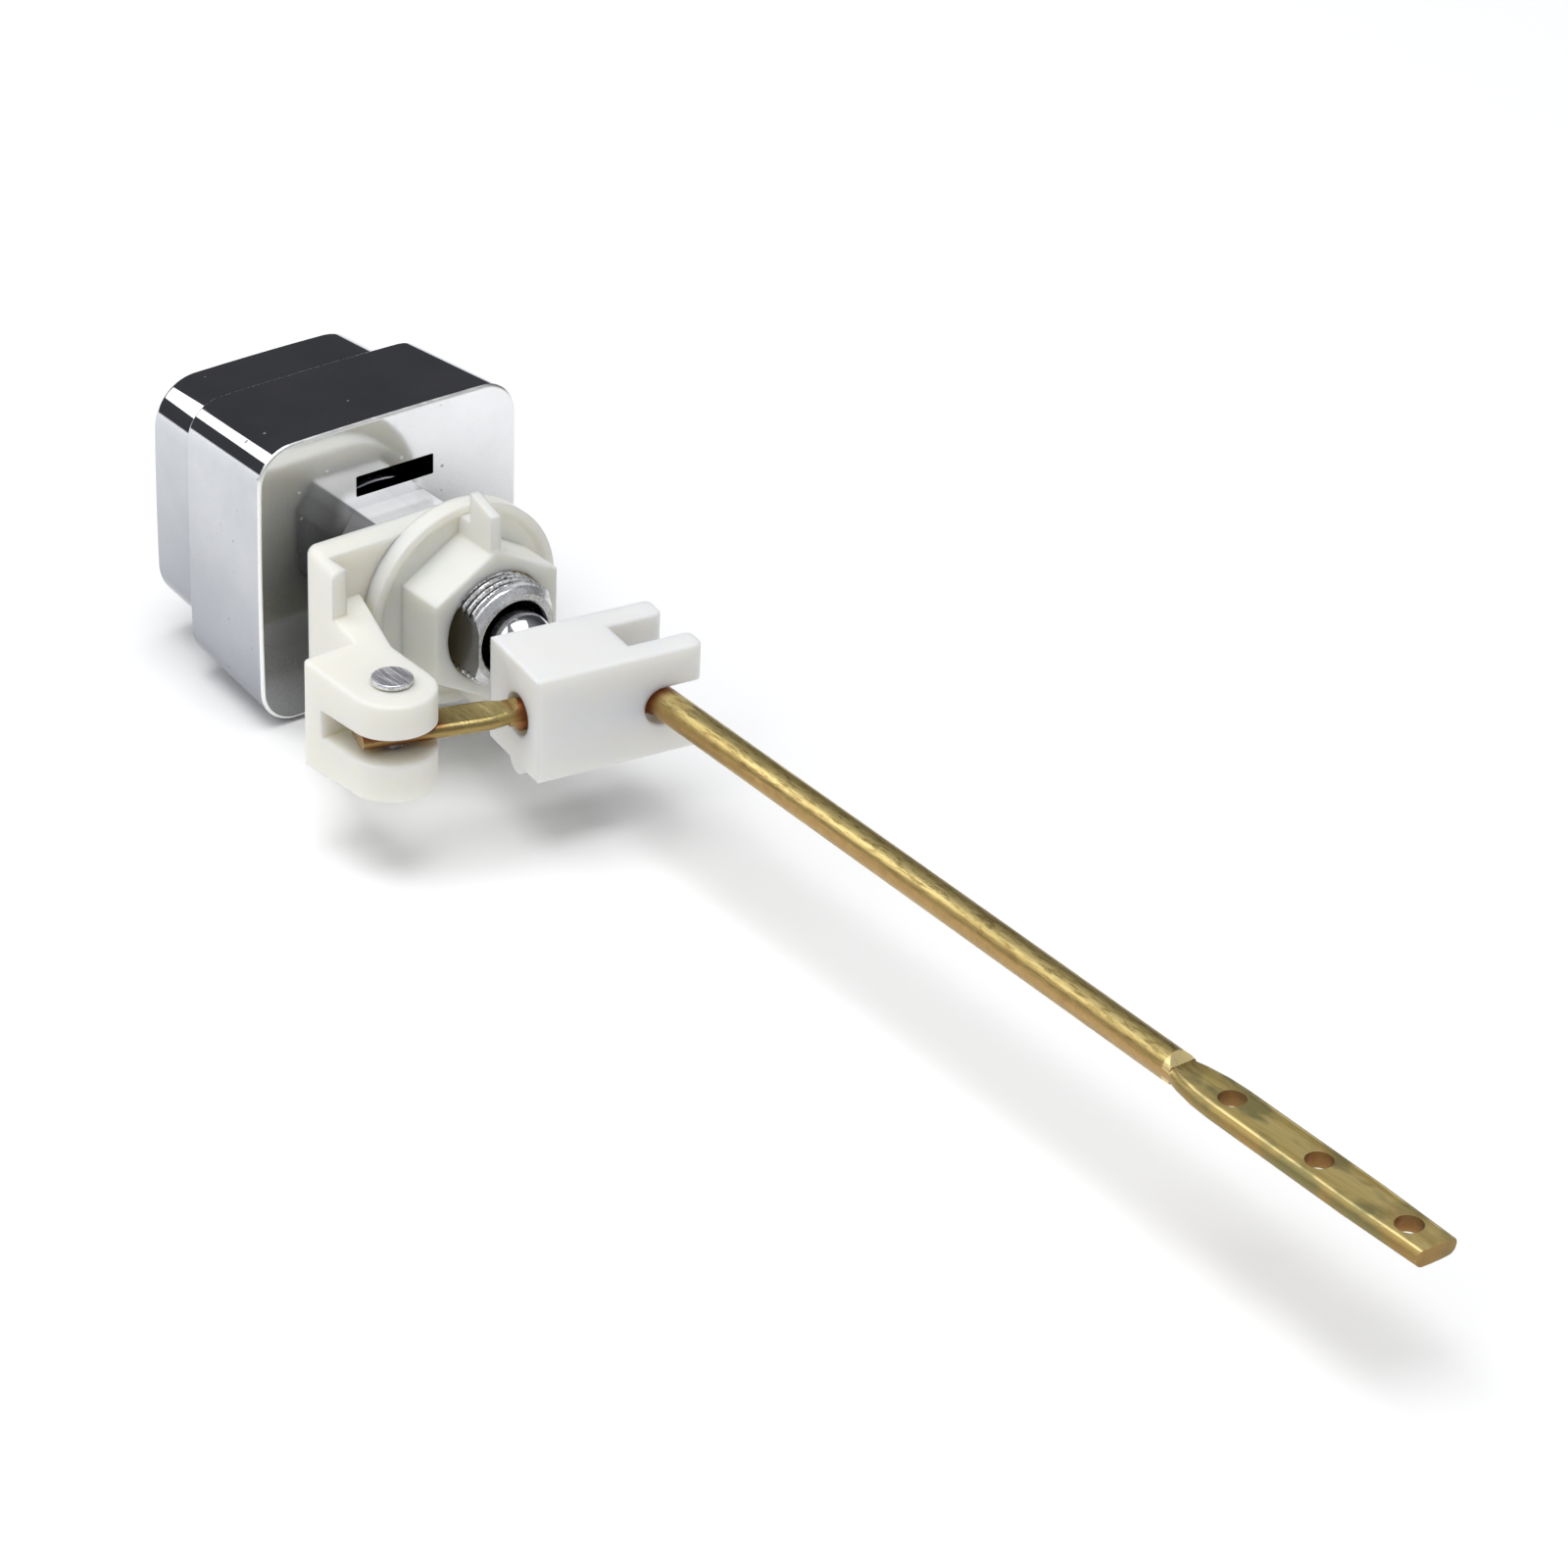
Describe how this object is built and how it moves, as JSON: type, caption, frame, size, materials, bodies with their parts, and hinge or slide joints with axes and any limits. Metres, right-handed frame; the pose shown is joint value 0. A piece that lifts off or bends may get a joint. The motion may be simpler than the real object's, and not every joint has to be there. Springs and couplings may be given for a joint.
{
  "type": "tank trip lever",
  "caption": "Push-button trip lever for a cistern: a square button in a shell housing drives a rod against a block that swings a long drilled brass arm about a clevis pivot.",
  "frame": {"origin": "on the push axis, in the plane of the housing's rear face, which seats on the tank wall", "axes": "+Y is the push direction into the tank and the way the arm reaches, +Z is parallel to the arm's pivot, +X points to the clevis side. In service the part is turned a quarter turn about Y, so that +X is up and the arm lifts."},
  "size_m": [0.0597, 0.2633, 0.0482],
  "materials": {
    "chrome_plate": "polished",
    "rod_steel": "polished",
    "spring_steel": "satin",
    "rivet_steel": "scratched",
    "white_plastic": "satin",
    "drawn_brass": "drawn"
  },
  "bodies": {
    "mount": {"housing": "chrome_plate", "bracket": "white_plastic", "lock_nut": "white_plastic", "rivet": "rivet_steel", "return_spring": "spring_steel"},
    "button": {"push_button": "chrome_plate", "push_rod": "rod_steel", "retaining_clip": "spring_steel"},
    "arm": {"trip_arm": "drawn_brass", "arm_block": "white_plastic"}
  },
  "joints": [
    {"name": "button_slide", "type": "slide", "parent": "mount", "child": "button", "axis": [0, 1, 0], "range_m": [0, 0.007], "stiffness_N_per_m": 400, "springref_m": -0.0125, "deforming": ["return_spring"]},
    {"name": "arm_pivot", "type": "hinge", "parent": "mount", "child": "arm", "pos_m": [0.02852, 0.04217, -0.003], "axis": [0, 0, -1], "range_deg": [0, 14.7]}
  ],
  "couplings": [
    {"joint": "arm_pivot", "follows": "button_slide", "rad_per_m": 36.6}
  ]
}
